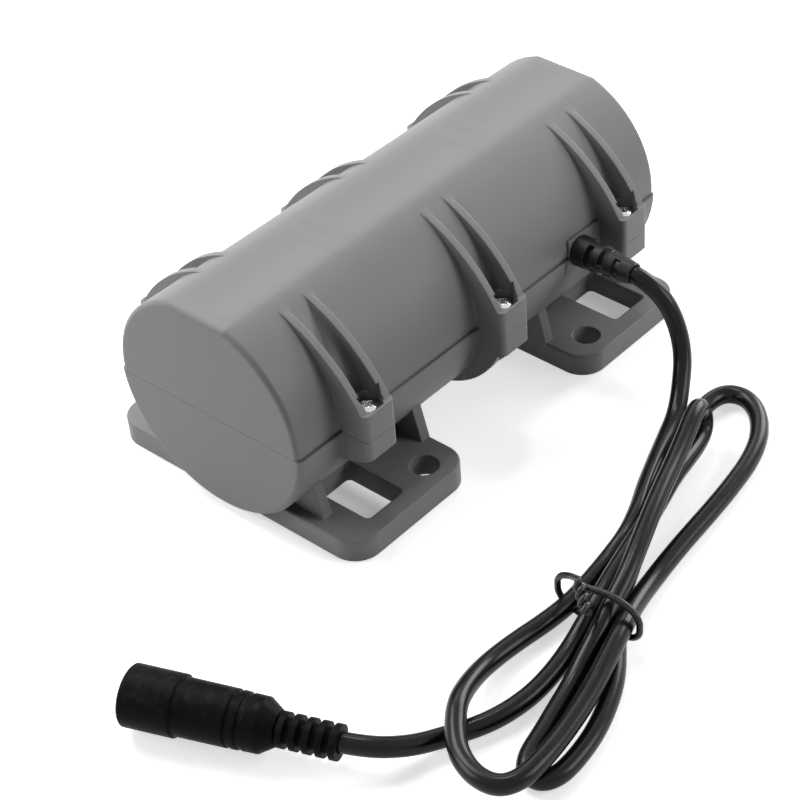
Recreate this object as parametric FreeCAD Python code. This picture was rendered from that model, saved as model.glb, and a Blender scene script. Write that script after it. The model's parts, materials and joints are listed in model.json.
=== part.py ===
"""Vibration motor: a double-ended motor with eccentric weights in a two-part moulded tube housing.

Frame: millimetres, +X along the motor shaft towards the cord end, +Z up, origin on the mounting
surface under the middle of the housing.
"""
import FreeCAD, Part
import math
import os

from FreeCAD import Vector

# ---- housing ----
HALF_LENGTH = 59.5          # housing end faces at +/- this
COVER_R = 25.0              # outside radius of the upper cover
BASE_R = COVER_R + 0.6      # lower base, proud of the cover all round the seam
AXIS_Z = BASE_R + 1.4       # shaft height over the mounting surface
CAVITY_R = COVER_R - 2.8
END_WALL = 3.0
RIM_FILLET = 1.2
FLAT_Z = AXIS_Z + COVER_R - 1.3     # flat strip along the top of the cover
SEAM_Z = AXIS_Z - 1.2
SEAM_GAP = 0.06
FIT_GAP = 0.02              # slip between pieces that are assembled together
# screw bosses
BOSS_X = (-42.6, 0.0, 42.6)
BOSS_HALF = 4.4
BOSS_OUT_Y = COVER_R + 7.4
BOSS_IN_Y = COVER_R - 2.0
BOSS_TOP_Z = SEAM_Z + 6.5
BOSS_LOW_Z = SEAM_Z - 4.9
BOSS_ROOT_Z = SEAM_Z - 8.4          # the underside slopes down towards the tube
BOSS_CORNER_R = 1.3
SCREW_Y = COVER_R + 3.8
POCKET_FLATS = 6.0
SCREW_SEAT_Z = BOSS_TOP_Z - 2.2
SCREW_R = 1.1
SCREW_HEAD_R = 2.4
SCREW_HEAD_H = 1.8
SCREW_TIP_Z = SEAM_Z - 3.9
CLEARANCE_HOLE_R = 1.3
FIN_THICK = 1.8
# feet
FOOT_OUTER_X = HALF_LENGTH - 3.4
FOOT_INNER_X = HALF_LENGTH - 39.4
FOOT_HALF_Y = 35.6
FOOT_THICK = 5.4
FOOT_CORNER_R = 6.0
FOOT_EDGE_R = 0.5
HOLE_X = HALF_LENGTH - 31.4
HOLE_Y = FOOT_HALF_Y - 6.4
HOLE_R = 3.25
WINDOW_X = (HALF_LENGTH - 22.8, HALF_LENGTH - 11.6)
WINDOW_Y = (FOOT_HALF_Y - 20.7, FOOT_HALF_Y - 4.4)
WINDOW_CORNER_R = 1.2
WEB_THICK = 2.6
WEB_TOP_Z = AXIS_Z - 13.4

# ---- motor ----
MOTOR_R = 18.0
MOTOR_HALF = 25.0
CAN_WALL = 1.2
CAP_THICK = 2.5
CAP_BOSS_R = 8.0
SHAFT_R = 2.5
SHAFT_MID_R = 3.0
SHAFT_HALF = 50.0
BEARING_OUT_R = 6.5
BEARING_W = 4.0
BEARING_X = MOTOR_HALF - 3.0    # inner face of each bearing
STATOR_HALF = MOTOR_HALF - 13.0
STATOR_IN_R = 9.2
SLOTS = 6
ROTOR_CORE_R = 6.5
MAGNET_R = 8.6
TOOTH_HALF_W = 1.7
COIL_R = (STATOR_IN_R + 1.4, STATOR_IN_R + 4.4)
COIL_END = 2.6              # end turns past the core
COIL_HALF_W = 3.4
BOARD_X = (MOTOR_HALF - 8.0, MOTOR_HALF - 6.8)
BOARD_R = (MAGNET_R - 1.0, MOTOR_R - CAN_WALL - 0.8)
POST_RING_R = MOTOR_R - 4.8
SENSOR_R = (MAGNET_R - 0.4, MAGNET_R + 2.0)
WEIGHT_X = (MOTOR_HALF + 8.0, MOTOR_HALF + 21.0)
WEIGHT_R = 15.0
WEIGHT_HUB_R = 7.0
SHAFT_FLAT = 2.0            # the flat under the set screws, from the shaft axis
SET_SCREW_R = 1.5
# seats for the motor inside the housing
SEAT_X = (MOTOR_HALF - 6.0, MOTOR_HALF - 3.0)
STOP_THICK = 2.0
STOP_R = 15.6
# cord exit
EXIT_X = MOTOR_HALF + 5.6
EXIT_Z = AXIS_Z - 0.6
TONGUE_X = (EXIT_X - 3.4, EXIT_X + 7.5)
TONGUE_TOP_Z = EXIT_Z + 3.8
TONGUE_GAP = 0.1
NECK_R = 2.9
RELIEF_TIP = 15.4           # from the housing's wall
RELIEF_SLOT = 1.5
RELIEF_PITCH = 3.6

# ---- cord and socket ----
CORD_R = 2.1
WIRE_R = 0.8
WIRE_PITCH = 1.0            # each wire from the cord's middle
WIRE_Y = -12.0
WIRE_END_Y = -20.5
JACK_REAR = Vector(-96.7, -68.6, 6.25)
JACK_DIR = Vector(-0.351, 0.936, 0.0).normalize()
JACK_LEN = 42.7
JACK_BORE_S = 38.32         # the cord ends here, from the front face
JACK_RIB_R = 3.55
JACK_RIB = 1.3
JACK_RIB_PITCH = 2.65
JACK_RIB_COUNT = 5
SOCKET_R = 5.02
SOCKET_DEEP = 14.0
LEAD_START_Y = -37.0        # the straight stretch inside the strain relief ends here
LEAD_ROUTE = [
    (EXIT_X, LEAD_START_Y, EXIT_Z), (EXIT_X, -45.0, EXIT_Z), (EXIT_X + 1.2, -52.2, 22.2),
    (EXIT_X + 0.4, -56.3, 15.8), (EXIT_X - 3.0, -58.4, 10.2), (EXIT_X - 8.2, -60.0, 6.0),
    (15.2, -61.4, 3.2), (8.8, -63.6, 2.3),
]
TAIL_ROUTE = [
    (-68.5, -86.2, 2.2), (-74.6, -84.4, 2.2), (-81.0, -80.8, 2.2), (-88.4, -77.8, 3.9),
    (-95.2, -72.5, 6.25), (-98.2, -64.5, 6.25),
]
TIE_R = 0.7
TIE_X = -39.6
# the tied hank: x, side to side, bottom to top
HANK_SECTIONS = [
    (-89.2, -96.5, -88.0, 5.0, 8.4), (-86.5, -101.0, -84.2, 2.5, 9.0),
    (-81.0, -104.2, -82.0, 0.1, 9.0), (-74.0, -105.6, -76.2, 0.1, 8.9),
    (-66.0, -105.8, -73.6, 0.1, 7.9), (-56.0, -103.0, -73.1, 0.1, 8.0),
    (-47.5, -97.4, -74.2, 0.1, 8.6), (TIE_X - 1.2, -94.3, -75.0, 1.5, 10.0),
    (TIE_X + 1.2, -94.3, -75.0, 1.5, 10.0), (-26.0, -91.2, -73.6, 0.1, 12.3),
    (-16.0, -88.8, -70.9, 0.1, 12.4), (-6.0, -87.2, -67.4, 0.1, 9.6),
    (4.0, -85.2, -63.4, 0.1, 10.4), (13.0, -82.6, -62.0, 0.1, 12.0),
    (21.0, -80.3, -61.6, 0.1, 12.5), (25.0, -79.0, -61.2, 0.1, 8.8),
    (30.0, -76.5, -62.2, 0.1, 4.5), (34.8, -71.5, -66.2, 1.0, 3.4),
]


def box(x0, x1, y0, y1, z0, z1):
    return Part.makeBox(x1 - x0, y1 - y0, z1 - z0, Vector(x0, y0, z0))


def cyl_x(r, x0, x1, y=0.0, z=AXIS_Z):
    return Part.makeCylinder(r, x1 - x0, Vector(x0, y, z), Vector(1, 0, 0))


def cyl_y(r, y0, y1, x, z):
    return Part.makeCylinder(r, y1 - y0, Vector(x, y0, z), Vector(0, 1, 0))


def cyl_z(r, z0, z1, x, y):
    return Part.makeCylinder(r, z1 - z0, Vector(x, y, z0), Vector(0, 0, 1))


def ring_x(ro, ri, x0, x1):
    return cyl_x(ro, x0, x1).cut(cyl_x(ri, x0 - 1, x1 + 1))


def fuse(shapes):
    whole = shapes[0].multiFuse(shapes[1:]) if len(shapes) > 1 else shapes[0]
    return whole.removeSplitter()


def mirror_y(shape):
    return shape.mirror(Vector(0, 0, 0), Vector(0, 1, 0))


def mirror_x(shape):
    return shape.mirror(Vector(0, 0, 0), Vector(1, 0, 0))


def both_sides(shape):
    return [shape, mirror_y(shape)]


def prism_x(points_yz, x0, x1):
    wire = Part.makePolygon([Vector(x0, y, z) for y, z in points_yz + points_yz[:1]])
    return Part.Face(wire).extrude(Vector(x1 - x0, 0, 0))


def rounded_plate(x0, x1, y0, y1, z0, z1, radius):
    plate = box(x0, x1, y0, y1, z0, z1)
    upright = [e for e in plate.Edges if abs(e.tangentAt(e.FirstParameter).z) > 0.9]
    return plate.makeFillet(radius, upright)


def revolve(profile, origin, axis, radial):
    """Turn (distance along axis, radius) points about the axis."""
    points = [origin + axis * s + radial * r for s, r in profile]
    face = Part.Face(Part.makePolygon(points + points[:1]))
    return face.revolve(origin, axis, 360)


def slab(z0, z1):
    """Everything of the housing between two heights."""
    side = max(FOOT_HALF_Y, BOSS_OUT_Y) + 1
    return box(-HALF_LENGTH - 1, HALF_LENGTH + 1, -side, side, z0, z1)


def housing_shell(radius):
    """Round bar with the flat strip along its top and rounded end rims."""
    shell = cyl_x(radius, -HALF_LENGTH, HALF_LENGTH).common(slab(0, FLAT_Z))
    rims = [e for e in shell.Edges if abs(abs(e.CenterOfMass.x) - HALF_LENGTH) < 1e-6]
    return shell.makeFillet(RIM_FILLET, rims)


def cavity():
    end = HALF_LENGTH - END_WALL
    return cyl_x(CAVITY_R, -end, end)


def motor_seats():
    """Two support ribs round the motor can and an end stop outside each motor cap."""
    inner, outer = SEAT_X
    stop = MOTOR_HALF + FIT_GAP
    ribs = []
    for sign in (1, -1):
        seat = ring_x(CAVITY_R + 0.6, MOTOR_R + FIT_GAP, inner, outer)
        end_stop = ring_x(CAVITY_R + 0.6, STOP_R, stop, stop + STOP_THICK)
        ribs += [seat, end_stop] if sign > 0 else [mirror_x(seat), mirror_x(end_stop)]
    return ribs


def around(radius, degrees):
    """Side and height of a point at a distance from the shaft and a turn from the top."""
    a = math.radians(degrees)
    return radius * math.sin(a), AXIS_Z + radius * math.cos(a)


def fin(x, crest, root):
    """One thin fin from the tube down to a boss, between a crest arc and a root arc."""
    y0, x0 = crest[0], x - FIN_THICK / 2
    def at(p):
        return Vector(x0, p[0], p[1])
    top = Part.Arc(*[at(p) for p in crest]).toShape()
    bottom = Part.Arc(*[at(p) for p in root]).toShape()
    ends = [Part.LineSegment(at(crest[2]), at(root[0])).toShape(),
            Part.LineSegment(at(root[2]), at(crest[0])).toShape()]
    wire = Part.Wire(Part.__sortEdges__([top, bottom] + ends))
    return Part.Face(wire).extrude(Vector(FIN_THICK, 0, 0))


def fin_pair(x, crest, root):
    offset = BOSS_HALF - FIN_THICK / 2
    return [fin(x + side * offset, crest, root) for side in (-1, 1)]


def boss_plan(x, z0, z1):
    block = box(x - BOSS_HALF, x + BOSS_HALF, BOSS_IN_Y, BOSS_OUT_Y, z0, z1)
    outer = [e for e in block.Edges
             if abs(e.tangentAt(e.FirstParameter).z) > 0.9 and e.CenterOfMass.y > BOSS_OUT_Y - 0.1]
    return block.makeFillet(BOSS_CORNER_R, outer)


def hexagon_prism(x, y, z0, z1):
    r = POCKET_FLATS / math.sqrt(3)
    points = [Vector(x + r * math.cos(math.radians(a)), y + r * math.sin(math.radians(a)), z0)
              for a in range(0, 361, 60)]
    return Part.Face(Part.makePolygon(points)).extrude(Vector(0, 0, z1 - z0))


def upper_cover():
    seam = SEAM_Z + SEAM_GAP / 2
    shell = housing_shell(COVER_R)
    crest = [around(COVER_R, 24.8), around(COVER_R + 2.5, 55.2), (BOSS_OUT_Y - 1.4, BOSS_TOP_Z)]
    root = [around(COVER_R - 1.4, a) for a in (82.7, 47.6, 24.1)]
    added = []
    for x in BOSS_X:
        outer = [boss_plan(x, seam, BOSS_TOP_Z)] + fin_pair(x, crest, root)
        for piece in outer:
            added += both_sides(piece)
    body = fuse([shell] + added)
    body = body.common(slab(seam, FLAT_Z))
    body = body.cut(cavity())
    ribs = [r.common(slab(seam, FLAT_Z)) for r in motor_seats()]
    body = fuse([body] + ribs)
    cuts = []
    for x in BOSS_X:
        pocket = hexagon_prism(x, SCREW_Y, SCREW_SEAT_Z, BOSS_TOP_Z + 3)
        hole = cyl_z(CLEARANCE_HOLE_R, SEAM_Z - 1, SCREW_SEAT_Z + 1, x, SCREW_Y)
        cuts += both_sides(pocket) + both_sides(hole)
    notch = box(TONGUE_X[0] - TONGUE_GAP, TONGUE_X[1] + TONGUE_GAP, -BASE_R - 1, -CAVITY_R + 2,
                SEAM_Z - 1, TONGUE_TOP_Z + TONGUE_GAP)
    return body.cut(Part.makeCompound(cuts + [notch]))


def foot():
    """The foot at +X: plate, windows, bolt holes and its two saddle webs."""
    plate = rounded_plate(FOOT_INNER_X, FOOT_OUTER_X, -FOOT_HALF_Y, FOOT_HALF_Y, 0, FOOT_THICK,
                          FOOT_CORNER_R)
    top_rim = [e for e in plate.Edges if abs(e.BoundBox.ZMin - FOOT_THICK) < 1e-3]
    plate = plate.makeFillet(FOOT_EDGE_R, top_rim)
    low_y, high_y, low_z = BASE_R - 1.7, BASE_R - 3.9, FOOT_THICK - 0.6
    web = [(-low_y, low_z), (-high_y, WEB_TOP_Z), (high_y, WEB_TOP_Z), (low_y, low_z)]
    outer_x = FOOT_OUTER_X - WEB_THICK
    webs = [prism_x(web, FOOT_INNER_X, FOOT_INNER_X + WEB_THICK),
            prism_x(web, outer_x - WEB_THICK, outer_x)]
    cuts = []
    window = rounded_plate(*WINDOW_X, *WINDOW_Y, -1, FOOT_THICK + 1, WINDOW_CORNER_R)
    hole = cyl_z(HOLE_R, -1, FOOT_THICK + 1, HOLE_X, HOLE_Y)
    for cut in (window, hole):
        cuts += both_sides(cut)
    return fuse([plate.cut(Part.makeCompound(cuts))] + webs)


def lower_base():
    seam = SEAM_Z - SEAM_GAP / 2
    shell = housing_shell(BASE_R).common(slab(0, seam))
    near_foot = mirror_x(foot())
    clear_y = BOSS_OUT_Y + 2
    wedge = [(BOSS_IN_Y, seam), (clear_y, seam), (clear_y, BOSS_LOW_Z), (BOSS_OUT_Y, BOSS_LOW_Z),
             (BOSS_IN_Y, BOSS_ROOT_Z)]
    crest = [around(BASE_R, 142.7), around(BASE_R + 3.2, 121.4),
             (BOSS_OUT_Y - 1.4, BOSS_LOW_Z + 0.6)]
    root = [around(BASE_R - 1.6, a) for a in (101.8, 124.8, 143.5)]
    added = [foot(), near_foot]
    for x in BOSS_X:
        block = boss_plan(x, BOSS_ROOT_Z - 1, seam).common(prism_x(wedge, x - 6, x + 6))
        pieces = [block] + (fin_pair(x, crest, root) if x == 0.0 else [])
        for piece in pieces:
            added += both_sides(piece)
    body = fuse([shell] + added)
    near_side = box(*TONGUE_X, -BASE_R - 1, 0, seam - 1, TONGUE_TOP_Z)
    tongue = ring_x(BASE_R, CAVITY_R, *TONGUE_X).common(near_side)
    body = fuse([body, tongue]).cut(cavity())
    ribs = [r.common(slab(0, seam)) for r in motor_seats()]
    body = fuse([body] + ribs)
    cuts = [cyl_y(NECK_R + 0.05, -BASE_R - 2, -CAVITY_R + 2, EXIT_X, EXIT_Z)]
    cuts.append(box(EXIT_X - 4.8, EXIT_X - 4.3, -BASE_R - 2, -BASE_R + 0.75, BOSS_LOW_Z, SEAM_Z - 0.3))
    for x in BOSS_X:
        pilot = cyl_z(SCREW_R + FIT_GAP, SCREW_TIP_Z - 0.2, SEAM_Z + 1, x, SCREW_Y)
        cuts += both_sides(pilot)
    return body.cut(Part.makeCompound(cuts))


def cover_screw(x, y):
    axis = Vector(0, 0, 1)
    origin = Vector(x, y, 0)
    seat = SCREW_SEAT_Z
    profile = [(SCREW_TIP_Z, 0), (SCREW_TIP_Z + 1.2, SCREW_R), (seat, SCREW_R),
               (seat, SCREW_HEAD_R), (seat + 0.8, SCREW_HEAD_R), (seat + 1.3, SCREW_HEAD_R * 0.8),
               (seat + SCREW_HEAD_H, SCREW_HEAD_R * 0.45), (seat + SCREW_HEAD_H, 0)]
    screw = revolve(profile, origin, axis, Vector(1, 0, 0))
    top = seat + SCREW_HEAD_H
    cross = [box(x - 1.2, x + 1.2, y - 0.28, y + 0.28, top - 0.9, top + 1),
             box(x - 0.28, x + 0.28, y - 1.2, y + 1.2, top - 0.9, top + 1)]
    return screw.cut(fuse(cross))


def cover_screws():
    return Part.makeCompound([cover_screw(x, y) for x in BOSS_X for y in (-SCREW_Y, SCREW_Y)])


def motor_can():
    half = MOTOR_HALF - CAP_THICK
    return ring_x(MOTOR_R, MOTOR_R - CAN_WALL, -half, half)


def motor_cap(preload):
    """The cap at +X: disc, spigot in the can and bearing housing, with room for the washer."""
    inner = MOTOR_HALF - CAP_THICK
    pocket_end = BEARING_X + BEARING_W + preload
    disc = cyl_x(MOTOR_R, inner, MOTOR_HALF)
    spigot = ring_x(MOTOR_R - CAN_WALL - FIT_GAP, MOTOR_R - CAN_WALL - 1.6, inner - 1.5, inner)
    boss = cyl_x(CAP_BOSS_R, BEARING_X - 0.5, pocket_end + 1.0)
    cap = fuse([disc, spigot, boss])
    pocket = cyl_x(BEARING_OUT_R + FIT_GAP, BEARING_X - 1, pocket_end)
    relief = cyl_x(BEARING_OUT_R - 1.4, BEARING_X, pocket_end + 0.4)
    return cap.cut(fuse([pocket, relief, cyl_x(SHAFT_R + 0.5, 10, 40)]))


def motor_front_cap():
    return mirror_x(motor_cap(0.0))


def motor_rear_cap():
    cap = motor_cap(0.5)
    post = cyl_x(1.2, BOARD_X[1], MOTOR_HALF - CAP_THICK + 0.5, 0, AXIS_Z + POST_RING_R)
    cap = fuse([cap] + [turned(post, a) for a in (0, 120, 240)])
    holes = [cyl_x(WIRE_R + 0.1, MOTOR_HALF - 5, MOTOR_HALF + 2, WIRE_Y, EXIT_Z + dz)
             for dz in (-WIRE_PITCH, WIRE_PITCH)]
    return cap.cut(fuse(holes))


def preload_washer():
    x = BEARING_X + BEARING_W
    return ring_x(6.3, 5.5, x, x + 0.5)


def stator_core():
    """Six teeth with pole shoes inside a back iron ring."""
    half = STATOR_HALF
    back = ring_x(MOTOR_R - CAN_WALL - FIT_GAP, COIL_R[1] + 0.6, -half, half)
    shoes = ring_x(COIL_R[0] - 0.2, STATOR_IN_R, -half, half)
    tooth = box(-half, half, -TOOTH_HALF_W, TOOTH_HALF_W, AXIS_Z + STATOR_IN_R + 0.4,
                AXIS_Z + MOTOR_R - 3)
    slit = box(-half - 1, half + 1, -0.7, 0.7, AXIS_Z + STATOR_IN_R - 1, AXIS_Z + COIL_R[0] + 0.4)
    step = 360 / SLOTS
    teeth = [turned(tooth, k * step) for k in range(SLOTS)]
    slits = [turned(slit, (k + 0.5) * step) for k in range(SLOTS)]
    return fuse([back, shoes.cut(Part.makeCompound(slits))] + teeth)


def turned(shape, degrees):
    copy = shape.copy()
    copy.rotate(Vector(0, 0, AXIS_Z), Vector(1, 0, 0), degrees)
    return copy


def stator_coils():
    half = STATOR_HALF + COIL_END
    low, high = AXIS_Z + COIL_R[0], AXIS_Z + COIL_R[1]
    coil = rounded_plate(-half, half, -COIL_HALF_W, COIL_HALF_W, low, high, COIL_END - 0.2)
    inner, side = STATOR_HALF + 0.3, TOOTH_HALF_W + 0.25
    coil = coil.cut(box(-inner, inner, -side, side, low - 1, high + 1))
    return Part.makeCompound([turned(coil, k * 360 / SLOTS) for k in range(SLOTS)])


def tooth_insulators():
    """A moulded end piece on each tooth end, inside the coil's end turn."""
    clip = box(STATOR_HALF, STATOR_HALF + 0.28, -TOOTH_HALF_W - 0.2, TOOTH_HALF_W + 0.2,
               AXIS_Z + COIL_R[0], AXIS_Z + COIL_R[1] + 0.4)
    clips = []
    for k in range(SLOTS):
        clips += [turned(clip, k * 360 / SLOTS), turned(mirror_x(clip), k * 360 / SLOTS)]
    return Part.makeCompound(clips)


def driver_board():
    board = ring_x(BOARD_R[1], BOARD_R[0], *BOARD_X)
    holes = [cyl_x(WIRE_R - 0.3, BOARD_X[0] - 1, BOARD_X[1] + 1, WIRE_Y, EXIT_Z + dz)
             for dz in (-WIRE_PITCH, WIRE_PITCH)]
    return board.cut(Part.makeCompound(holes))


def board_parts():
    """Three position sensors, the driver chip and two capacitors on the inner face."""
    x1 = BOARD_X[0]
    sensor = box(x1 - 1.2, x1, -1.8, 1.8, AXIS_Z + SENSOR_R[0], AXIS_Z + SENSOR_R[1])
    chip = box(x1 - 1.4, x1, -3.0, 3.0, AXIS_Z + SENSOR_R[0] + 0.8, AXIS_Z + POST_RING_R + 0.8)
    capacitor = cyl_x(1.6, x1 - 1.8, x1, 0, AXIS_Z + SENSOR_R[1] + 0.9)
    parts = [turned(sensor, a) for a in (30, 90, 150)] + [turned(chip, 240)]
    parts += [turned(capacitor, a) for a in (200, 285)]
    return Part.makeCompound(parts)


def rotor_shaft():
    shaft = fuse([cyl_x(SHAFT_R, -SHAFT_HALF, SHAFT_HALF), cyl_x(SHAFT_MID_R, -BEARING_X, BEARING_X)])
    ends = [e for e in shaft.Edges if isinstance(e.Curve, Part.Circle)
            and abs(abs(e.CenterOfMass.x) - SHAFT_HALF) < 0.1]
    shaft = shaft.makeChamfer(0.4, ends)
    flats = [box(WEIGHT_X[0] - 1, 60, -4, 4, AXIS_Z + SHAFT_FLAT, AXIS_Z + 5)]
    flats.append(mirror_x(flats[0]))
    return shaft.cut(Part.makeCompound(flats))


def rotor_core():
    return ring_x(ROTOR_CORE_R, SHAFT_MID_R + FIT_GAP, -STATOR_HALF, STATOR_HALF)


def rotor_magnet():
    return ring_x(MAGNET_R, ROTOR_CORE_R + FIT_GAP, -STATOR_HALF, STATOR_HALF)


def bearing_outer(sign):
    """Outer ring with a raceway groove."""
    ring = ring_x(BEARING_OUT_R, 5.2, BEARING_X, BEARING_X + BEARING_W)
    race = Part.makeTorus(4.5, 0.95, Vector(BEARING_X + BEARING_W / 2, 0, AXIS_Z), Vector(1, 0, 0))
    ring = ring.cut(race)
    return ring if sign > 0 else mirror_x(ring)


def bearing_inner(sign):
    ring = ring_x(3.8, SHAFT_R + 0.01, BEARING_X, BEARING_X + BEARING_W)
    race = Part.makeTorus(4.5, 0.95, Vector(BEARING_X + BEARING_W / 2, 0, AXIS_Z), Vector(1, 0, 0))
    ring = ring.cut(race)
    return ring if sign > 0 else mirror_x(ring)


def bearing_balls(sign):
    """Seven balls threaded in the ring-shaped cage that carries them round."""
    x = sign * (BEARING_X + BEARING_W / 2)
    balls = []
    for k in range(7):
        a = 2 * math.pi * k / 7
        balls.append(Part.makeSphere(0.9, Vector(x, 4.5 * math.sin(a), AXIS_Z + 4.5 * math.cos(a))))
    cage = cyl_x(4.75, x - 0.5, x + 0.5).cut(cyl_x(4.25, x - 2, x + 2))
    return fuse([cage] + balls)


def eccentric_weight(sign):
    """Hub and half-round sector, hanging below the shaft."""
    x0, x1 = WEIGHT_X
    sector = cyl_x(WEIGHT_R, x0, x1).common(box(x0, x1, -20, 20, 0, AXIS_Z + 0.5))
    weight = fuse([sector, cyl_x(WEIGHT_HUB_R, x0, x1)])
    weight = weight.cut(cyl_x(SHAFT_R + FIT_GAP, x0 - 1, x1 + 1))
    tapped = cyl_z(SET_SCREW_R + FIT_GAP, AXIS_Z + 1, AXIS_Z + 9, (x0 + x1) / 2, 0)
    weight = weight.cut(tapped)
    return weight if sign > 0 else mirror_x(weight)


def set_screw(sign):
    x = sign * (WEIGHT_X[0] + WEIGHT_X[1]) / 2
    screw = cyl_z(SET_SCREW_R, AXIS_Z + SHAFT_FLAT, AXIS_Z + 6.6, x, 0)
    return screw.cut(cyl_z(0.8, AXIS_Z + 5.0, AXIS_Z + 7.0, x, 0))


def tube_along(points, radius, report=""):
    """Straight runs joined by tangent arcs, each as large as its two runs allow."""
    pts = [Vector(*p) for p in points]
    edges = []
    start = pts[0]
    radii = []
    for k in range(1, len(pts) - 1):
        back, ahead = pts[k - 1] - pts[k], pts[k + 1] - pts[k]
        turn = math.pi - back.getAngle(ahead)
        reach = 0.45 * min(back.Length, ahead.Length)
        arc_r = reach / math.tan(turn / 2)
        back.normalize()
        ahead.normalize()
        into, out = pts[k] + back * reach, pts[k] + ahead * reach
        bisector = (back + ahead).normalize()
        middle = pts[k] + bisector * (arc_r / math.cos(turn / 2) - arc_r)
        edges += [Part.LineSegment(start, into).toShape(), Part.Arc(into, middle, out).toShape()]
        start = out
        radii.append(arc_r)
    edges.append(Part.LineSegment(start, pts[-1]).toShape())
    path = Part.Wire(edges)
    profile = Part.Wire(Part.makeCircle(radius, pts[0], pts[1] - pts[0]))
    tube = path.makePipeShell([profile], True, True, 1)
    if report:
        volume = math.pi * radius ** 2 * path.Length
        print(report, "length", round(path.Length, 1), "volume ratio", round(tube.Volume / volume, 4))
        print(report, "arc radii", [round(r, 1) for r in radii])
    return tube


def lead_wire(dz):
    """From the driver board out through the rear cap, then into the strain relief."""
    z = EXIT_Z + dz
    path = [(BOARD_X[1], WIRE_Y, z), (EXIT_X - 1.0, WIRE_Y, z), (EXIT_X, WIRE_END_Y, z)]
    return tube_along(path, WIRE_R)


def strain_relief():
    """Tapered sleeve in the housing wall: inner flange, neck, collar and crossed slots."""
    axis, origin = Vector(0, -1, 0), Vector(EXIT_X, 0, EXIT_Z)
    wall = BASE_R + 0.05
    tip = wall + RELIEF_TIP
    bore = CORD_R + FIT_GAP
    flange = CAVITY_R - 1.8
    profile = [(flange, bore), (flange, 3.5), (flange + 1.1, 3.5), (flange + 1.1, NECK_R),
               (wall, NECK_R), (wall, 3.5), (wall + 0.3, 3.65), (wall + 8.4, 3.4),
               (wall + 9.0, 3.15), (tip - 3.0, 2.85), (tip - 0.3, 2.55), (tip, 2.35), (tip, bore)]
    sleeve = revolve(profile, origin, axis, Vector(1, 0, 0))
    slots = []
    for k in range(3):
        y = -(wall + RELIEF_PITCH * (k + 1))
        slot = box(-5, 5, y - RELIEF_SLOT, y, -5, 5)
        slot = slot.cut(box(-0.85, 0.85, y - RELIEF_SLOT - 1, y + 1, -6, 6))
        slot = slot.cut(cyl_y(bore + 0.28, y - RELIEF_SLOT - 1, y + 1, 0, 0))
        slot.rotate(Vector(0, y, 0), Vector(0, 1, 0), 90 * (k % 2))
        slot.translate(Vector(EXIT_X, 0, EXIT_Z))
        slots.append(slot)
    return sleeve.cut(Part.makeCompound(slots))


def cord_root():
    """The cord's straight end in the bore of the strain relief."""
    return cyl_y(CORD_R, LEAD_START_Y, WIRE_END_Y - 0.1, EXIT_X, EXIT_Z)


def cord_lead():
    return tube_along(LEAD_ROUTE, CORD_R, "cord_lead")


def cord_tail():
    return tube_along(TAIL_ROUTE, CORD_R, "cord_tail")


def hank_outline(x, y0, y1, z0, z1, grow=0.0):
    """Rounded section of the hank, as the corners of a 16-sided loop."""
    half_y, half_z = (y1 - y0) / 2 + grow, (z1 - z0) / 2 + grow
    corners = []
    for k in range(16):
        c, s = math.cos(math.pi * (k + 0.5) / 8), math.sin(math.pi * (k + 0.5) / 8)
        y = (y0 + y1) / 2 + half_y * math.copysign(abs(c) ** 0.7, c)
        z = (z0 + z1) / 2 + half_z * math.copysign(abs(s) ** 0.7, s)
        corners.append(Vector(x, y, z))
    return corners


def cord_hank():
    """One closed solid with the outer shape of the tied hank."""
    loops = [hank_outline(*section) for section in HANK_SECTIONS]
    return Part.makeLoft([Part.makePolygon(loop + loop[:1]) for loop in loops], True, True)


def wire_tie():
    """One wire: a twisted tail, once round the hank, and back up the tail."""
    x, y0, y1, z0, z1 = (TIE_X,) + HANK_SECTIONS[7][1:]
    ring = hank_outline(x, y0, y1, z0, z1, TIE_R + FIT_GAP)
    pair_r = TIE_R + 0.14
    base = Vector(TIE_X - 1.6, (y0 + y1) / 2 + 3.4, z1 + TIE_R + pair_r + 0.06)
    along = Vector(-0.66, -0.74, -0.08).normalize()
    side = along.cross(Vector(1, 0, 0)).normalize()
    other = along.cross(side)
    twist = []
    for k in range(11):
        a = math.radians(60 * k)
        offset = side * (pair_r * math.cos(a)) + other * (pair_r * math.sin(a))
        twist.append((base + along * (0.78 * k), offset))
    loop = [ring[(4 + k) % 16] for k in range(15)]
    up = [middle + offset for middle, offset in twist]
    down = [middle - offset for middle, offset in reversed(twist)]
    return tube_along(down + loop + up, TIE_R)


def jack_frame():
    front = JACK_REAR + JACK_DIR * JACK_LEN
    return front, JACK_DIR * -1, Vector(0, 0, 1)


def jack_shell():
    """Over-moulded body: front collar, barrel with two grooves, cone and a ribbed tail."""
    front, axis, radial = jack_frame()
    neck = CORD_R + 0.45
    profile = [(0.0, SOCKET_R), (0.0, 5.9), (0.3, 6.2), (10.4, 6.2), (10.7, 5.75), (21.2, 5.7),
               (21.4, 5.35), (22.2, 5.35), (22.4, 5.65), (23.4, 5.6), (23.6, 5.25), (24.4, 5.25),
               (24.6, 5.55), (27.4, 5.5), (30.4, JACK_RIB_R), (30.4, neck)]
    for k in range(JACK_RIB_COUNT):
        end = JACK_LEN - JACK_RIB_PITCH * (JACK_RIB_COUNT - 1 - k)
        profile += [(end - JACK_RIB, neck), (end - JACK_RIB, JACK_RIB_R), (end, JACK_RIB_R),
                    (end, neck)]
    profile += [(JACK_LEN, CORD_R + FIT_GAP), (JACK_BORE_S, CORD_R + FIT_GAP),
                (JACK_BORE_S, 0), (SOCKET_DEEP, 0), (SOCKET_DEEP, SOCKET_R)]
    return revolve(profile, front, axis, radial)


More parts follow.
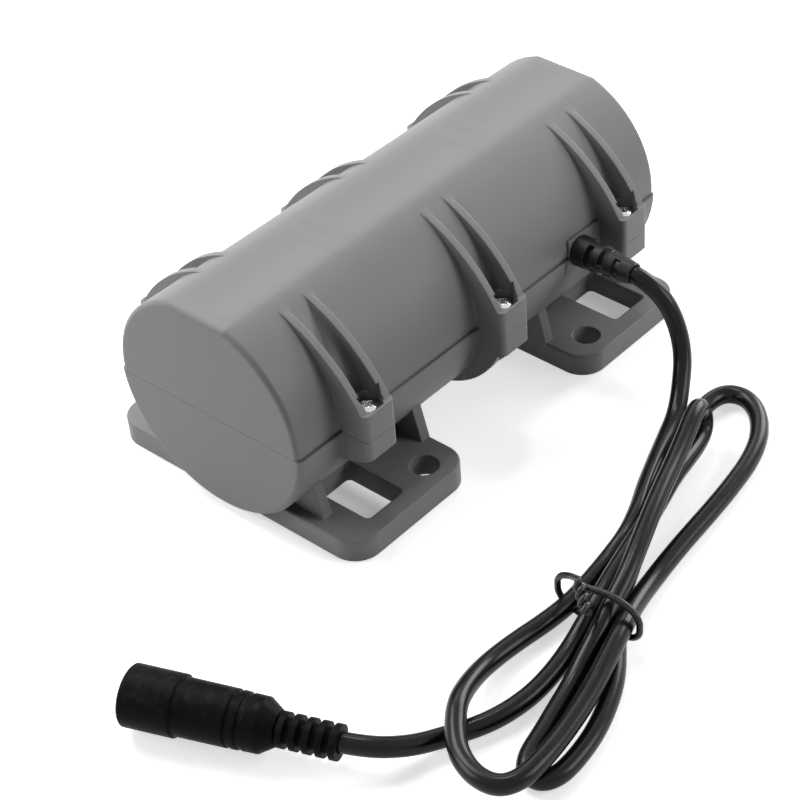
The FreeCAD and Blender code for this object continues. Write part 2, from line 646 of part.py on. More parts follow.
def jack_liner():
    front, axis, radial = jack_frame()
    outer = SOCKET_R - FIT_GAP
    profile = [(0.3, 3.2), (0.7, 2.8), (11.0, 2.8), (11.0, 1.02), (SOCKET_DEEP, 1.02),
               (SOCKET_DEEP, outer), (0.3, outer)]
    return revolve(profile, front, axis, radial)


def jack_pin():
    front, axis, radial = jack_frame()
    profile = [(1.6, 0), (1.6, 0.6), (2.0, 1.0), (SOCKET_DEEP, 1.0), (SOCKET_DEEP, 0)]
    return revolve(profile, front, axis, radial)


def jack_contact():
    """Split spring sleeve inside the socket."""
    front, axis, radial = jack_frame()
    sleeve = revolve([(5.0, 2.56), (5.0, 2.78), (11.0, 2.78), (11.0, 2.56)], front, axis, radial)
    middle = front + axis * 8
    slit = Part.makeBox(1.2, 8, 4, Vector(-0.6, -4, 1), Vector(0, 0, 1))
    slit.rotate(Vector(0, 0, 0), Vector(0, 0, 1), math.degrees(math.atan2(axis.y, axis.x)) - 90)
    slit.translate(middle)
    return sleeve.cut(slit)


def save(name, shape):
    if not shape.isValid():
        print("NOT VALID", name)
    shape.exportStep("parts/" + name + ".step")
    print(name, "solids", len(shape.Solids), "volume", round(shape.Volume, 1))


os.makedirs("parts", exist_ok=True)
NODES = {
    "upper_cover": upper_cover, "lower_base": lower_base, "cover_screws": cover_screws,
    "motor_can": motor_can, "motor_front_cap": motor_front_cap, "motor_rear_cap": motor_rear_cap,
    "preload_washer": preload_washer, "stator_core": stator_core, "stator_coils": stator_coils,
    "tooth_insulators": tooth_insulators, "driver_board": driver_board, "board_parts": board_parts,
    "rotor_shaft": rotor_shaft, "rotor_core": rotor_core, "rotor_magnet": rotor_magnet,
    "strain_relief": strain_relief, "cord_root": cord_root, "cord_lead": cord_lead,
    "cord_hank": cord_hank, "cord_tail": cord_tail, "wire_tie": wire_tie,
    "jack_shell": jack_shell, "jack_liner": jack_liner, "jack_pin": jack_pin,
    "jack_contact": jack_contact,
}
for name, make in NODES.items():
    save(name, make())
for end, sign in (("front", -1), ("rear", 1)):
    save(end + "_bearing_outer", bearing_outer(sign))
    save(end + "_bearing_inner", bearing_inner(sign))
    save(end + "_bearing_balls", bearing_balls(sign))
    save(end + "_weight", eccentric_weight(sign))
    save(end + "_set_screw", set_screw(sign))
for colour, side in (("red", 1), ("black", -1)):
    save("lead_wire_" + colour, lead_wire(side * WIRE_PITCH))
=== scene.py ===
"""Vibration motor with a tied power cord, dressed on its CAD frame.

The CAD nodes give every rigid piece. This script adds the finishes, the flexible cord, the light
and the camera. Lengths are in metres, in the CAD frame: +X along the shaft, +Z up.
"""
import json
import logging
import math
from dataclasses import dataclass, field
from enum import Enum

import bpy
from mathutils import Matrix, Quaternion, Vector


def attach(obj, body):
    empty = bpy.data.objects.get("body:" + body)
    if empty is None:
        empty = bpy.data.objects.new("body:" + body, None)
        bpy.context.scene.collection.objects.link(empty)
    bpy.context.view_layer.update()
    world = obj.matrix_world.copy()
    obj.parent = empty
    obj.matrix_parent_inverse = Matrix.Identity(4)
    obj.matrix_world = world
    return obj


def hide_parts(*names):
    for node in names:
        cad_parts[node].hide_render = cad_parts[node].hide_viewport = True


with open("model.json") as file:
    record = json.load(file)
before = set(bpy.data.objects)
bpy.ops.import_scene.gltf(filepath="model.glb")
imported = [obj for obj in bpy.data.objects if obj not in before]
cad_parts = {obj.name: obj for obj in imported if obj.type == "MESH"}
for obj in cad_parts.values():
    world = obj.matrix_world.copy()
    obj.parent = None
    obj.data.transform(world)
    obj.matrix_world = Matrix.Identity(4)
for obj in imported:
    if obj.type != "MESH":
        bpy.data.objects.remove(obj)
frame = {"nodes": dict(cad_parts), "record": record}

LOG = logging.getLogger("vibration_motor")
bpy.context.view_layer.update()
Colour = tuple[float, float, float]
Point = tuple[float, float, float]
MILLIMETRE = 0.001
EDGE_SAMPLES = 4
COAT_ROUGHNESS = 0.25
SCUFF_POLISH = 0.5
WHITE = (1.0, 1.0, 1.0, 1.0)


class Ray(Enum):
    """Light path outputs that see the plain white surroundings."""

    CAMERA = "Is Camera Ray"
    GLOSSY = "Is Glossy Ray"
    TRANSMISSION = "Is Transmission Ray"


class MixSlot(Enum):
    """Places of the Mix node's colour sockets, whose names repeat."""

    FACTOR = 0
    BELOW = 6
    ABOVE = 7
    RESULT = 2


class Edge(Enum):
    """How round an edge of a moulding looks, as a radius."""

    CRISP = 0.00012
    SOFT = 0.00030
    ROUND = 0.00045


def opaque(colour: Colour) -> tuple[float, float, float, float]:
    """Adds a full alpha to a colour."""
    return (*colour, 1.0)


def place_node(tree: bpy.types.NodeTree, kind: str, **values: object) -> bpy.types.Node:
    """Adds a shader node and sets its properties and input values.

    Args:
        tree: the node tree that gets the node.
        kind: the node's type, without "ShaderNode".
        values: property names, or input names with underscores for spaces.

    Returns:
        The new node.
    """
    node = tree.nodes.new("ShaderNode" + kind)
    for name, value in values.items():
        if hasattr(node, name):
            setattr(node, name, value)
        else:
            node.inputs[name.replace("_", " ")].default_value = value
    return node


def arithmetic(tree: bpy.types.NodeTree, operation: str, first: object, second: object = 0.0,
               third: object = 0.0) -> bpy.types.NodeSocket:
    """Joins up to three values or sockets with a Math node.

    Args:
        tree: the node tree that gets the node.
        operation: the Math node's operation.
        first: a number or a socket.
        second: a number or a socket.
        third: a number or a socket.

    Returns:
        The socket with the answer.
    """
    node = place_node(tree, "Math", operation=operation)
    for slot, value in zip(node.inputs, (first, second, third)):
        if isinstance(value, bpy.types.NodeSocket):
            tree.links.new(value, slot)
        else:
            slot.default_value = value
    return node.outputs[0]


def spread(tree: bpy.types.NodeTree, value: bpy.types.NodeSocket, low: float, high: float,
           to_low: float = 0.0, to_high: float = 1.0) -> bpy.types.NodeSocket:
    """Maps a value from one range to another, clamped, and returns the answer's socket."""
    node = place_node(tree, "MapRange")
    for name, number in (("From Min", low), ("From Max", high), ("To Min", to_low),
                         ("To Max", to_high)):
        node.inputs[name].default_value = number
    tree.links.new(value, node.inputs["Value"])
    return node.outputs["Result"]


def seen_directly(tree: bpy.types.NodeTree) -> bpy.types.NodeSocket:
    """Gives 1 to the rays that see the surroundings, and 0 to the others.

    Args:
        tree: the floor's or the world's node tree.

    Returns:
        The value's socket.
    """
    path = place_node(tree, "LightPath")
    seen = path.outputs[Ray.CAMERA.value]
    for ray in (Ray.GLOSSY, Ray.TRANSMISSION):
        seen = arithmetic(tree, "MAXIMUM", seen, path.outputs[ray.value])
    return seen


def object_place(tree: bpy.types.NodeTree) -> bpy.types.bpy_prop_collection:
    """Splits the object's own coordinates and returns the sockets, named X, Y and Z."""
    place = place_node(tree, "TexCoord")
    parts = place_node(tree, "SeparateXYZ")
    tree.links.new(place.outputs["Object"], parts.inputs["Vector"])
    return parts.outputs


@dataclass
class Effect:
    """A shader node group with named inputs and outputs."""

    name: str
    inputs: dict[str, float]
    outputs: tuple[str, ...]
    tree: bpy.types.NodeTree = field(init=False)
    source: bpy.types.Node = field(init=False)
    sink: bpy.types.Node = field(init=False)

    def __post_init__(self) -> None:
        """Makes the empty group and its sockets."""
        self.tree = bpy.data.node_groups.new(self.name, "ShaderNodeTree")
        for name, value in self.inputs.items():
            socket = self.tree.interface.new_socket(name=name, in_out="INPUT",
                                                    socket_type="NodeSocketFloat")
            socket.default_value = value
        for name in self.outputs:
            self.tree.interface.new_socket(name=name, in_out="OUTPUT",
                                           socket_type="NodeSocketFloat")
        self.source = self.tree.nodes.new("NodeGroupInput")
        self.sink = self.tree.nodes.new("NodeGroupOutput")

    def texture(self, kind: str, stretch: Point = (1, 1, 1),
                detail: float = 3.0) -> bpy.types.Node:
        """Adds a texture in object space, in cycles per millimetre.

        Args:
            kind: the texture node's type.
            stretch: how much finer the pattern is along each axis.
            detail: octaves of detail.

        Returns:
            The texture node.
        """
        place = place_node(self.tree, "TexCoord")
        mapping = place_node(self.tree, "Mapping")
        mapping.inputs["Scale"].default_value = tuple(s / MILLIMETRE for s in stretch)
        node = place_node(self.tree, kind)
        if "Detail" in node.inputs:
            node.inputs["Detail"].default_value = detail
        self.tree.links.new(place.outputs["Object"], mapping.inputs["Vector"])
        self.tree.links.new(mapping.outputs["Vector"], node.inputs["Vector"])
        self.tree.links.new(self.source.outputs["Fineness"], node.inputs["Scale"])
        return node

    def give(self, name: str, socket: bpy.types.NodeSocket) -> None:
        """Sends a socket to one of the group's outputs."""
        self.tree.links.new(socket, self.sink.inputs[name])


class Effects:
    """The shared surface effects, each built once."""

    def __init__(self) -> None:
        """Builds the groups."""
        self.grain = self._grain()
        self.mottle = self._mottle()
        self.scuffs = self._scuffs()
        self.dust = self._dust()
        self.wear_and_highlight = self._wear_and_highlight()

    @staticmethod
    def _grain() -> Effect:
        """Fine moulded grain: small pits in a soft orange peel."""
        effect = Effect("moulded_grain", {"Fineness": 2.0}, ("Height",))
        fine = effect.texture("TexNoise", detail=4.0)
        pits = effect.texture("TexVoronoi")
        low = spread(effect.tree, pits.outputs["Distance"], 0.0, 0.55)
        mixed = arithmetic(effect.tree, "MULTIPLY_ADD", fine.outputs["Fac"], 0.6,
                           arithmetic(effect.tree, "MULTIPLY", low, 0.4))
        effect.give("Height", mixed)
        return effect

    @staticmethod
    def _mottle() -> Effect:
        """Broad, faint unevenness of colour, with flow streaks along the moulding."""
        effect = Effect("colour_mottle", {"Fineness": 0.06}, ("Mask",))
        broad = effect.texture("TexNoise", detail=5.0)
        streak = effect.texture("TexNoise", stretch=(0.35, 3.0, 3.0), detail=3.0)
        both = arithmetic(effect.tree, "MULTIPLY_ADD", streak.outputs["Fac"], 0.45,
                          arithmetic(effect.tree, "MULTIPLY", broad.outputs["Fac"], 0.55))
        effect.give("Mask", spread(effect.tree, both, 0.32, 0.68))
        return effect

    @staticmethod
    def _scuffs() -> Effect:
        """Thin handling scratches, sparse and in several directions."""
        effect = Effect("handling_scuffs", {"Fineness": 0.12}, ("Mask",))
        masks = []
        for stretch in ((1.0, 14.0, 14.0), (9.0, 1.0, 12.0), (11.0, 8.0, 1.0)):
            line = effect.texture("TexNoise", stretch=stretch, detail=2.0)
            masks.append(spread(effect.tree, line.outputs["Fac"], 0.655, 0.70))
        most = arithmetic(effect.tree, "MAXIMUM", masks[0],
                          arithmetic(effect.tree, "MAXIMUM", masks[1], masks[2]))
        effect.give("Mask", most)
        return effect

    @staticmethod
    def _dust() -> Effect:
        """Pale dust on surfaces that face upwards."""
        effect = Effect("settled_dust", {"Fineness": 0.5}, ("Mask",))
        speck = effect.texture("TexNoise", detail=6.0)
        spots = spread(effect.tree, speck.outputs["Fac"], 0.50, 0.72)
        normal = place_node(effect.tree, "NewGeometry")
        parts = place_node(effect.tree, "SeparateXYZ")
        effect.tree.links.new(normal.outputs["Normal"], parts.inputs["Vector"])
        upward = spread(effect.tree, parts.outputs["Z"], 0.25, 1.0)
        effect.give("Mask", arithmetic(effect.tree, "MULTIPLY", spots, upward))
        return effect

    @staticmethod
    def _wear_and_highlight() -> Effect:
        """Lighter outer edges, broken up by noise: rubbed edges, and on the housing partly a
        painted highlight on the rounded edges.
        """
        effect = Effect("edge_wear_and_highlight", {"Fineness": 0.6}, ("Mask",))
        shape = place_node(effect.tree, "NewGeometry")
        edge = spread(effect.tree, shape.outputs["Pointiness"], 0.52, 0.62)
        rub = effect.texture("TexNoise", detail=4.0)
        effect.give("Mask", arithmetic(effect.tree, "MULTIPLY", edge,
                                       spread(effect.tree, rub.outputs["Fac"], 0.35, 0.65)))
        return effect


@dataclass(frozen=True)
class Crown:
    """The top of the cover, where the flat runs softly into the tube between the end rims."""

    foot_z: float = 0.0486
    top_z: float = 0.0500
    inner_x: float = 0.0550
    end_x: float = 0.0590
    radius: float = 0.0042
    samples: int = 8

    def edge_radius(self, tree: bpy.types.NodeTree, elsewhere: Edge) -> bpy.types.NodeSocket:
        """Gives the radius that the edges are softened to.

        Args:
            tree: the material's node tree.
            elsewhere: the softness of the edges away from the crown.

        Returns:
            The radius's socket.
        """
        parts = object_place(tree)
        high = spread(tree, parts["Z"], self.foot_z, self.top_z)
        along = arithmetic(tree, "ABSOLUTE", parts["X"])
        inner = spread(tree, along, self.inner_x, self.end_x, 1.0, 0.0)
        amount = arithmetic(tree, "MULTIPLY", high, inner)
        return spread(tree, amount, 0.0, 1.0, elsewhere.value, self.radius)


@dataclass(frozen=True)
class Finish:
    """One surface finish: colours, gloss and the strength of each shared effect."""

    name: str
    colour: Colour
    drift: Colour
    gloss: float
    gloss_swing: float = 0.08
    shine: float = 0.5
    metal: float = 0.0
    grain: float = 2.0
    relief: float = 0.00002
    mottle: float = 0.06
    scuff: float = 0.12
    scuff_colour: Colour = (0.6, 0.6, 0.6)
    dust: float = 0.08
    dust_colour: Colour = (0.62, 0.61, 0.58)
    # edge lightening: rubbed edges, and on the housing partly a painted highlight
    wear_and_highlight: float = 0.2
    wear_and_highlight_colour: Colour = (0.5, 0.5, 0.5)
    coat: float = 0.0
    edge: Edge = Edge.CRISP
    crown: Crown | None = None

    def build(self, effects: Effects) -> bpy.types.Material:
        """Makes the material.

        Args:
            effects: the shared node groups.

        Returns:
            The material.
        """
        material = bpy.data.materials.new(self.name)
        material.use_nodes = True
        tree = material.node_tree
        shader = tree.nodes["Principled BSDF"]
        shader.inputs["Metallic"].default_value = self.metal
        shader.inputs["Specular IOR Level"].default_value = self.shine
        shader.inputs["Coat Weight"].default_value = self.coat
        shader.inputs["Coat Roughness"].default_value = COAT_ROUGHNESS
        mottle = self._effect(tree, effects.mottle, self.mottle)
        scuffs = self._effect(tree, effects.scuffs)
        dust = self._effect(tree, effects.dust)
        wear_and_highlight = self._effect(tree, effects.wear_and_highlight)
        grain = self._effect(tree, effects.grain, self.grain)
        colour = self._layer(tree, mottle, opaque(self.colour), opaque(self.drift), 1.0)
        colour = self._layer(tree, scuffs, colour, opaque(self.scuff_colour), self.scuff)
        # lighter edges: rubbed edges, and on the housing partly a painted highlight
        colour = self._layer(tree, wear_and_highlight, colour, opaque(self.wear_and_highlight_colour), self.wear_and_highlight)
        colour = self._layer(tree, dust, colour, opaque(self.dust_colour), self.dust)
        tree.links.new(colour, shader.inputs["Base Color"])
        rough = spread(tree, mottle, 0.0, 1.0, self.gloss - self.gloss_swing,
                       self.gloss + self.gloss_swing)
        rough = arithmetic(tree, "MULTIPLY_ADD", dust, self.dust, rough)
        rough = arithmetic(tree, "MULTIPLY_ADD", scuffs, -SCUFF_POLISH * self.scuff, rough)
        tree.links.new(rough, shader.inputs["Roughness"])
        rounded = place_node(tree, "Bevel", samples=EDGE_SAMPLES)
        rounded.inputs["Radius"].default_value = self.edge.value
        if self.crown:
            rounded.samples = self.crown.samples
            tree.links.new(self.crown.edge_radius(tree, self.edge), rounded.inputs["Radius"])
        bump = place_node(tree, "Bump")
        bump.inputs["Strength"].default_value = 1.0
        bump.inputs["Distance"].default_value = self.relief
        height = arithmetic(tree, "MULTIPLY_ADD", scuffs, -self.scuff, grain)
        tree.links.new(height, bump.inputs["Height"])
        tree.links.new(rounded.outputs["Normal"], bump.inputs["Normal"])
        tree.links.new(bump.outputs["Normal"], shader.inputs["Normal"])
        return material

    @staticmethod
    def _effect(tree: bpy.types.NodeTree, effect: Effect,
                fineness: float | None = None) -> bpy.types.NodeSocket:
        """Places a shared effect.

        Args:
            tree: the material's node tree.
            effect: the shared group.
            fineness: its pattern's fineness, or None for the group's own.

        Returns:
            The effect's only output.
        """
        node = place_node(tree, "Group", node_tree=effect.tree)
        own = effect.inputs["Fineness"]
        node.inputs["Fineness"].default_value = own if fineness is None else fineness
        return node.outputs[0]

    @staticmethod
    def _layer(tree: bpy.types.NodeTree, mask: bpy.types.NodeSocket, below: object, above: object,
               amount: float) -> bpy.types.NodeSocket:
        """Lays one colour over another through a mask.

        Args:
            tree: the material's node tree.
            mask: where the upper colour shows.
            below: the lower colour, or its socket.
            above: the upper colour.
            amount: how strongly the upper colour covers.

        Returns:
            The mixed colour's socket.
        """
        mix = place_node(tree, "Mix", data_type="RGBA")
        cover = arithmetic(tree, "MULTIPLY", mask, amount)
        tree.links.new(cover, mix.inputs[MixSlot.FACTOR.value])
        under = mix.inputs[MixSlot.BELOW.value]
        if isinstance(below, bpy.types.NodeSocket):
            tree.links.new(below, under)
        else:
            under.default_value = below
        mix.inputs[MixSlot.ABOVE.value].default_value = above
        return mix.outputs[MixSlot.RESULT.value]


class Finishes:
    """Every finish of the motor, by the record's material slot."""

    def __init__(self, effects: Effects) -> None:
        """Builds the materials from their finishes."""
        self.by_slot = {finish.name: finish.build(effects) for finish in self._all()}

    @staticmethod
    def _all() -> tuple[Finish, ...]:
        """Lists the finishes."""
        return (
            # the housing's lighter edges are partly rubbed and partly a painted highlight on its
            # rounded edges
            Finish("housing_plastic", (0.198, 0.203, 0.205), (0.212, 0.217, 0.218), 0.50, 0.04,
                   shine=0.3, grain=2.2, relief=0.000008, mottle=0.05, scuff=0.0, wear_and_highlight=0.06,
                   wear_and_highlight_colour=(0.30, 0.305, 0.31), dust=0.0, edge=Edge.ROUND, crown=Crown()),
            Finish("screw_steel", (0.56, 0.55, 0.53), (0.70, 0.69, 0.67), 0.24, 0.06, metal=1.0,
                   grain=4.0, relief=0.000006, mottle=0.5, scuff=0.25, dust=0.05),
            Finish("motor_steel", (0.50, 0.51, 0.52), (0.58, 0.59, 0.60), 0.32, 0.07, metal=1.0,
                   grain=5.0, relief=0.000004, scuff=0.2),
            Finish("stator_iron", (0.12, 0.12, 0.125), (0.17, 0.165, 0.16), 0.5, metal=0.8,
                   grain=6.0, relief=0.00001, mottle=0.3),
            Finish("winding_copper", (0.55, 0.20, 0.08), (0.68, 0.29, 0.12), 0.3, metal=0.9,
                   grain=3.0, relief=0.00006, mottle=0.9, coat=0.6),
            Finish("insulator", (0.72, 0.69, 0.60), (0.78, 0.75, 0.67), 0.45, grain=2.0),
            Finish("board_green", (0.02, 0.13, 0.06), (0.03, 0.17, 0.08), 0.3, grain=3.0,
                   mottle=0.4, coat=0.4),
            Finish("chip_black", (0.02, 0.02, 0.022), (0.03, 0.03, 0.032), 0.5, grain=4.0),
            Finish("shaft_steel", (0.55, 0.55, 0.56), (0.62, 0.62, 0.63), 0.2, 0.05, metal=1.0,
                   grain=6.0, relief=0.000003, scuff=0.3),
            Finish("magnet_black", (0.05, 0.05, 0.055), (0.08, 0.08, 0.085), 0.55, metal=0.4,
                   grain=3.0),
            Finish("bearing_steel", (0.66, 0.66, 0.67), (0.72, 0.72, 0.73), 0.12, 0.04, metal=1.0,
                   grain=8.0, relief=0.000002),
            Finish("weight_steel", (0.36, 0.36, 0.36), (0.44, 0.44, 0.43), 0.34, 0.08, metal=1.0,
                   grain=4.0, relief=0.000008, scuff=0.3),
            Finish("cord_black", (0.0045, 0.004, 0.005), (0.007, 0.0062, 0.0075), 0.24, 0.03,
                   shine=0.2, grain=1.2, relief=0.000012, mottle=0.12, scuff=0.03,
                   scuff_colour=(0.06, 0.06, 0.06), dust=0.01, wear_and_highlight=0.0),
            Finish("relief_black", (0.006, 0.006, 0.0066), (0.010, 0.010, 0.011), 0.38, 0.06,
                   shine=0.25, grain=1.8, relief=0.000014, scuff=0.03,
                   scuff_colour=(0.10, 0.10, 0.10), dust=0.02, wear_and_highlight=0.05,
                   wear_and_highlight_colour=(0.08, 0.08, 0.08), edge=Edge.SOFT),
            Finish("wire_red", (0.42, 0.012, 0.012), (0.5, 0.02, 0.018), 0.4),
            Finish("wire_black", (0.012, 0.012, 0.012), (0.02, 0.02, 0.02), 0.4),
            Finish("tie_black", (0.008, 0.008, 0.009), (0.016, 0.016, 0.016), 0.26, 0.05,
                   shine=0.3, grain=2.0, relief=0.00001, scuff=0.05, dust=0.0),
            Finish("jack_black", (0.003, 0.003, 0.003), (0.005, 0.005, 0.005), 0.44, 0.05,
                   shine=0.04, grain=2.4, relief=0.000012, scuff=0.03,
                   scuff_colour=(0.06, 0.06, 0.06), dust=0.02, wear_and_highlight=0.06,
                   wear_and_highlight_colour=(0.06, 0.06, 0.06), edge=Edge.SOFT),
            Finish("jack_insert", (0.012, 0.012, 0.012), (0.02, 0.02, 0.02), 0.3),
            Finish("contact_metal", (0.62, 0.58, 0.48), (0.70, 0.67, 0.58), 0.22, metal=1.0,
                   grain=5.0, relief=0.000003),
        )


@dataclass
class Housing:
    """The two mouldings, their screws and the motor inside them."""

    finishes: Finishes

    def dress(self) -> None:
        """Gives every CAD node the finish of its slot."""
        slots = {part["node"]: part["material_slot"] for part in frame["record"]["subparts"]}
        for name, node in frame["nodes"].items():
            node.data.materials.clear()
            node.data.materials.append(self.finishes.by_slot[slots[name]])
            LOG.info("dressed %s in %s", name, slots[name])


@dataclass
class PowerCord:
    """The free cord: out of the strain relief, through the tied hank and into the socket.

    Its length runs from the housing wall to its end inside the socket.
    """

    finishes: Finishes
    radius: float = 0.0021
    length: float = 0.69
    side_facets: int = 6
    steps_between_points: int = 10
    exit: Point = (0.0306, -0.0257, 0.0264)
    route_mm: tuple[Point, ...] = (
        (30.6, -21.0, 26.4), (30.6, -36.0, 26.4), (30.7, -43.0, 26.2), (31.8, -48.2, 22.6),
        (32.4, -51.5, 16.4), (30.6, -54.6, 10.4), (26.2, -57.3, 5.8), (20.4, -60.3, 2.8),
        (12.1, -63.2, 2.2), (3.6, -66.6, 2.8), (-4.5, -70.1, 3.8), (-11.6, -73.8, 5.0),
        (-18.6, -76.0, 4.4), (-25.4, -76.2, 2.6), (-32.2, -76.8, 2.2), (-38.8, -77.4, 2.2),
        (-46.2, -76.9, 2.2), (-55.0, -75.4, 2.2), (-63.2, -75.2, 2.9), (-70.2, -76.9, 4.9),
        (-76.5, -79.6, 6.9), (-81.7, -83.4, 6.9), (-86.1, -88.0, 6.9), (-88.4, -93.6, 6.9),
        (-87.9, -98.8, 6.9), (-84.0, -101.2, 6.9), (-77.0, -101.0, 6.6), (-68.4, -99.6, 5.9),
        (-59.4, -97.8, 5.9), (-50.4, -95.1, 6.4), (-42.4, -92.6, 6.4), (-33.8, -89.2, 4.2),
        (-25.0, -86.9, 2.3), (-16.7, -85.7, 2.2), (-8.7, -84.9, 2.2), (0.2, -84.2, 2.2),
        (9.0, -83.2, 2.2), (17.6, -81.8, 2.2), (25.2, -79.2, 2.2), (31.6, -74.8, 2.2),
        (35.0, -69.4, 2.2), (33.8, -64.5, 2.2), (28.6, -63.0, 2.2), (20.8, -64.6, 2.2),
        (12.0, -67.4, 2.2), (3.9, -70.2, 2.2), (-3.7, -72.9, 2.2), (-11.7, -75.9, 2.2),
        (-19.6, -79.0, 2.2), (-26.4, -82.0, 2.2), (-32.8, -84.8, 2.2), (-38.6, -88.2, 2.2),
        (-44.4, -92.8, 2.2), (-50.6, -97.2, 2.2), (-57.4, -100.4, 2.2), (-64.2, -102.5, 2.2),
        (-70.8, -103.5, 2.2), (-76.2, -103.5, 2.2), (-79.2, -101.6, 2.2), (-79.2, -98.2, 2.2),
        (-75.8, -95.9, 2.2), (-70.0, -94.7, 2.2), (-63.8, -93.1, 2.2), (-57.3, -91.6, 2.4),
        (-51.0, -90.0, 3.7), (-44.4, -88.6, 5.4), (-38.6, -87.2, 6.9), (-32.0, -85.8, 8.6),
        (-24.4, -83.2, 9.8), (-16.0, -80.0, 10.3), (-7.4, -76.8, 10.3), (1.2, -73.8, 10.1),
        (8.6, -71.2, 10.6), (13.6, -69.4, 11.3), (17.3, -68.2, 10.9), (19.2, -67.9, 8.8),
        (19.4, -68.5, 5.8), (17.4, -69.5, 3.9), (13.2, -70.8, 4.0), (7.4, -72.3, 5.0),
        (0.4, -73.9, 6.0), (-7.5, -76.2, 6.3), (-15.8, -78.4, 6.3), (-23.8, -80.2, 6.3),
        (-31.2, -81.9, 6.2), (-37.4, -83.3, 5.6), (-43.0, -84.4, 4.2), (-49.0, -85.4, 2.6),
        (-55.6, -86.4, 2.2), (-62.2, -86.9, 2.2), (-68.6, -86.2, 2.2), (-74.6, -84.4, 2.2),
        (-81.0, -80.8, 2.2), (-88.4, -77.8, 3.9), (-95.2, -72.5, 6.25), (-98.2, -64.5, 6.25),
    )

    def build(self) -> bpy.types.Object:
        """Returns:
            The cord.
        """
        data = bpy.data.curves.new("power_cord", "CURVE")
        data.dimensions = "3D"
        data.bevel_depth = self.radius
        data.bevel_resolution = self.side_facets
        data.resolution_u = self.steps_between_points
        data.use_fill_caps = True
        spline = data.splines.new("NURBS")
        spline.points.add(len(self.route_mm) - 1)
        for point, place in zip(spline.points, self.route_mm):
            point.co = (*(MILLIMETRE * value for value in place), 1.0)
        spline.order_u = 3
        spline.use_endpoint_u = True
        cord = bpy.data.objects.new("power_cord", data)
        bpy.context.scene.collection.objects.link(cord)
        data.materials.append(self.finishes.by_slot["cord_black"])
        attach(cord, "housing")
        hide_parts("cord_root", "cord_lead", "cord_hank", "cord_tail")
        LOG.info("built the cord, %.3f m long", self.length)
        return cord


@dataclass(frozen=True)
class Softbox:
    """One square soft lamp, aimed at the middle of the object."""

    name: str
    place: Point
    size: float
    watts: float
    aim: Point = (0.0, -0.02, 0.01)

    def build(self) -> None:
        """Makes the lamp."""
        data = bpy.data.lights.new(self.name, "AREA")
        data.shape = "SQUARE"
        data.size = self.size
        data.energy = self.watts
        lamp = bpy.data.objects.new(self.name, data)
        bpy.context.scene.collection.objects.link(lamp)
        lamp.location = self.place
        direction = Vector(self.aim) - Vector(self.place)
        lamp.rotation_euler = direction.to_track_quat("-Z", "Y").to_euler()


@dataclass(frozen=True)
class Floor:
    """The pale paper floor, which shows white and keeps the object's shadow.

    The floor under the feet glows less, a painted shade, so that the windows in them look down on
    shade.
    """

    half: float = 3.0
    gap: float = 0.0002
    grey: float = 0.80
    roughness: float = 0.9
    glow: float = 0.62
    # the dimmer glow under the feet, a painted shade
    painted_shade_glow: float = 0.32
    foot_x: tuple[float, float] = (0.036, 0.040)
    foot_end_x: tuple[float, float] = (0.054, 0.058)
    foot_end_y: tuple[float, float] = (0.029, 0.033)

    def build(self) -> None:
        mesh = bpy.data.meshes.new("studio_floor")
        half = self.half
        corners = [(-half, -half, 0), (half, -half, 0), (half, half, 0), (-half, half, 0)]
        mesh.from_pydata(corners, [], [(0, 1, 2, 3)])
        mesh.materials.append(self.paper())
        floor = bpy.data.objects.new("studio_floor", mesh)
        bpy.context.scene.collection.objects.link(floor)
        floor.location.z = -self.gap

    def paper(self) -> bpy.types.Material:
        """Makes the floor's material, with a glow for the eye alone."""
        material = bpy.data.materials.new("floor_paper")
        material.use_nodes = True
        tree = material.node_tree
        paper = tree.nodes["Principled BSDF"]
        paper.inputs["Base Color"].default_value = opaque((self.grey, self.grey, self.grey))
        paper.inputs["Roughness"].default_value = self.roughness
        paper.inputs["Specular IOR Level"].default_value = 0.0
        glow = place_node(tree, "Emission", Color=WHITE)
        # painted shade: the floor's glow is dimmed under the feet
        loss = self.painted_shade_glow - self.glow
        lit = arithmetic(tree, "MULTIPLY_ADD", self.painted_shade_under_feet(tree), loss, self.glow)
        strength = arithmetic(tree, "MULTIPLY", seen_directly(tree), lit)
        tree.links.new(strength, glow.inputs["Strength"])
        total = place_node(tree, "AddShader")
        tree.links.new(paper.outputs[0], total.inputs[0])
        tree.links.new(glow.outputs[0], total.inputs[1])
        tree.links.new(total.outputs[0], tree.nodes["Material Output"].inputs["Surface"])
        return material

    def painted_shade_under_feet(self, tree: bpy.types.NodeTree) -> bpy.types.NodeSocket:
        """Masks the floor under the feet, where the glow is dimmed to a painted shade that the
        windows in them show.
        """
        parts = object_place(tree)
        across = arithmetic(tree, "ABSOLUTE", parts["Y"])
        along = arithmetic(tree, "ABSOLUTE", parts["X"])
        mask = arithmetic(tree, "MULTIPLY", spread(tree, across, *self.foot_end_y, 1.0, 0.0),
                          spread(tree, along, *self.foot_end_x, 1.0, 0.0))
        return arithmetic(tree, "MULTIPLY", mask, spread(tree, along, *self.foot_x))


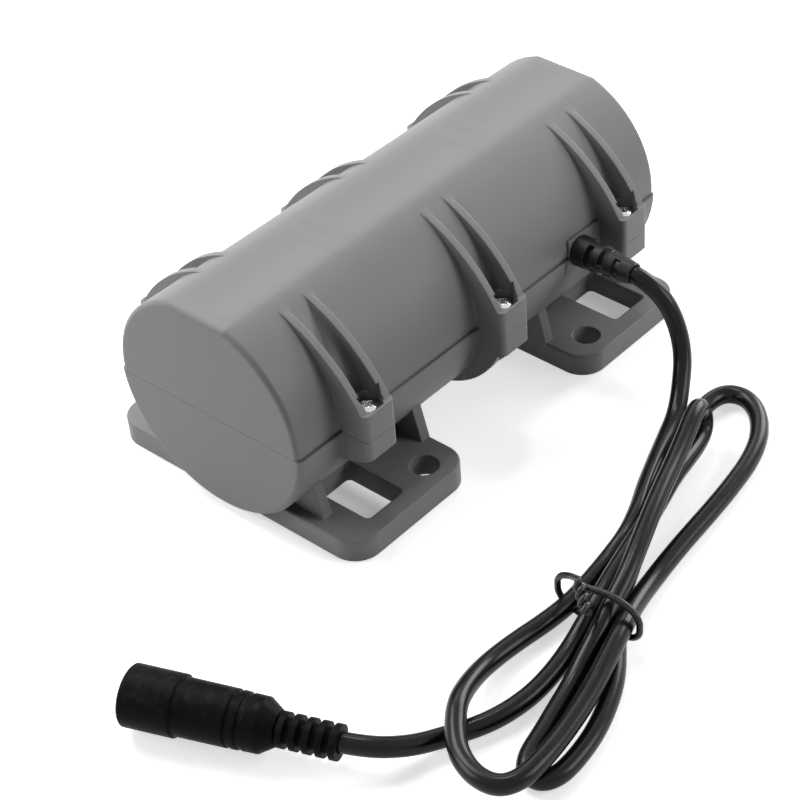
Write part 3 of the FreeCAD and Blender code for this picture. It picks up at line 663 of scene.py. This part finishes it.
@dataclass
class Studio:
    """The plain floor, the soft lamps and the camera."""

    floor: Floor = Floor()
    camera_place: Point = (-0.27764, -0.27060, 0.30927)
    camera_aim: Point = (0.01849, -0.05175, -0.00791)
    camera_roll_deg: float = 0.334
    camera_lens: float = 97.19
    camera_shift: tuple[float, float] = (-0.30, 0.05)
    camera_sensor: float = 36.0
    camera_near: float = 0.01
    lamps: tuple[Softbox, ...] = (
        Softbox("back_softbox", (0.0, 0.6, 0.75), 0.5, 6.9),
        Softbox("back_left_softbox", (-0.6, 0.6, 0.45), 0.5, 4.4),
        Softbox("back_right_softbox", (0.6, 0.6, 0.5), 0.5, 1.25),
        Softbox("right_softbox", (0.9, -0.05, 0.4), 0.5, 5.9),
        Softbox("front_right_softbox", (0.5, -0.8, 0.5), 0.5, 4.2),
        Softbox("key_lamp", (0.35, 0.25, 1.0), 0.1, 1.4),
    )

    def build(self) -> None:
        """Makes all of it."""
        self.make_camera()
        self.floor.build()
        self.make_world()
        for lamp in self.lamps:
            lamp.build()
        bpy.context.scene.view_settings.view_transform = "Standard"

    def make_camera(self) -> None:
        """Places the camera at its viewing angle."""
        data = bpy.data.cameras.new("studio_camera")
        data.lens = self.camera_lens
        data.sensor_width = self.camera_sensor
        data.shift_x, data.shift_y = self.camera_shift
        data.clip_start = self.camera_near
        camera = bpy.data.objects.new("studio_camera", data)
        bpy.context.scene.collection.objects.link(camera)
        camera.location = self.camera_place
        look = (Vector(self.camera_aim) - Vector(self.camera_place)).to_track_quat("-Z", "Y")
        roll = Quaternion((0, 0, 1), math.radians(self.camera_roll_deg))
        camera.rotation_euler = (look @ roll).to_euler()
        bpy.context.scene.camera = camera

    def make_world(self) -> None:
        """Makes the surroundings: plain white to the eye, with no light of their own."""
        world = bpy.data.worlds.new("studio_world")
        bpy.context.scene.world = world
        world.use_nodes = True
        tree = world.node_tree
        background = tree.nodes["Background"]
        background.inputs["Color"].default_value = WHITE
        tree.links.new(seen_directly(tree), background.inputs["Strength"])


def main() -> None:
    """Builds the studio, the cord and the finishes."""
    logging.basicConfig(level=logging.INFO, format="%(name)s: %(message)s")
    finishes = Finishes(Effects())
    Studio().build()
    LOG.info("built the studio")
    PowerCord(finishes).build()
    Housing(finishes).dress()


if __name__ == "__main__":
    main()
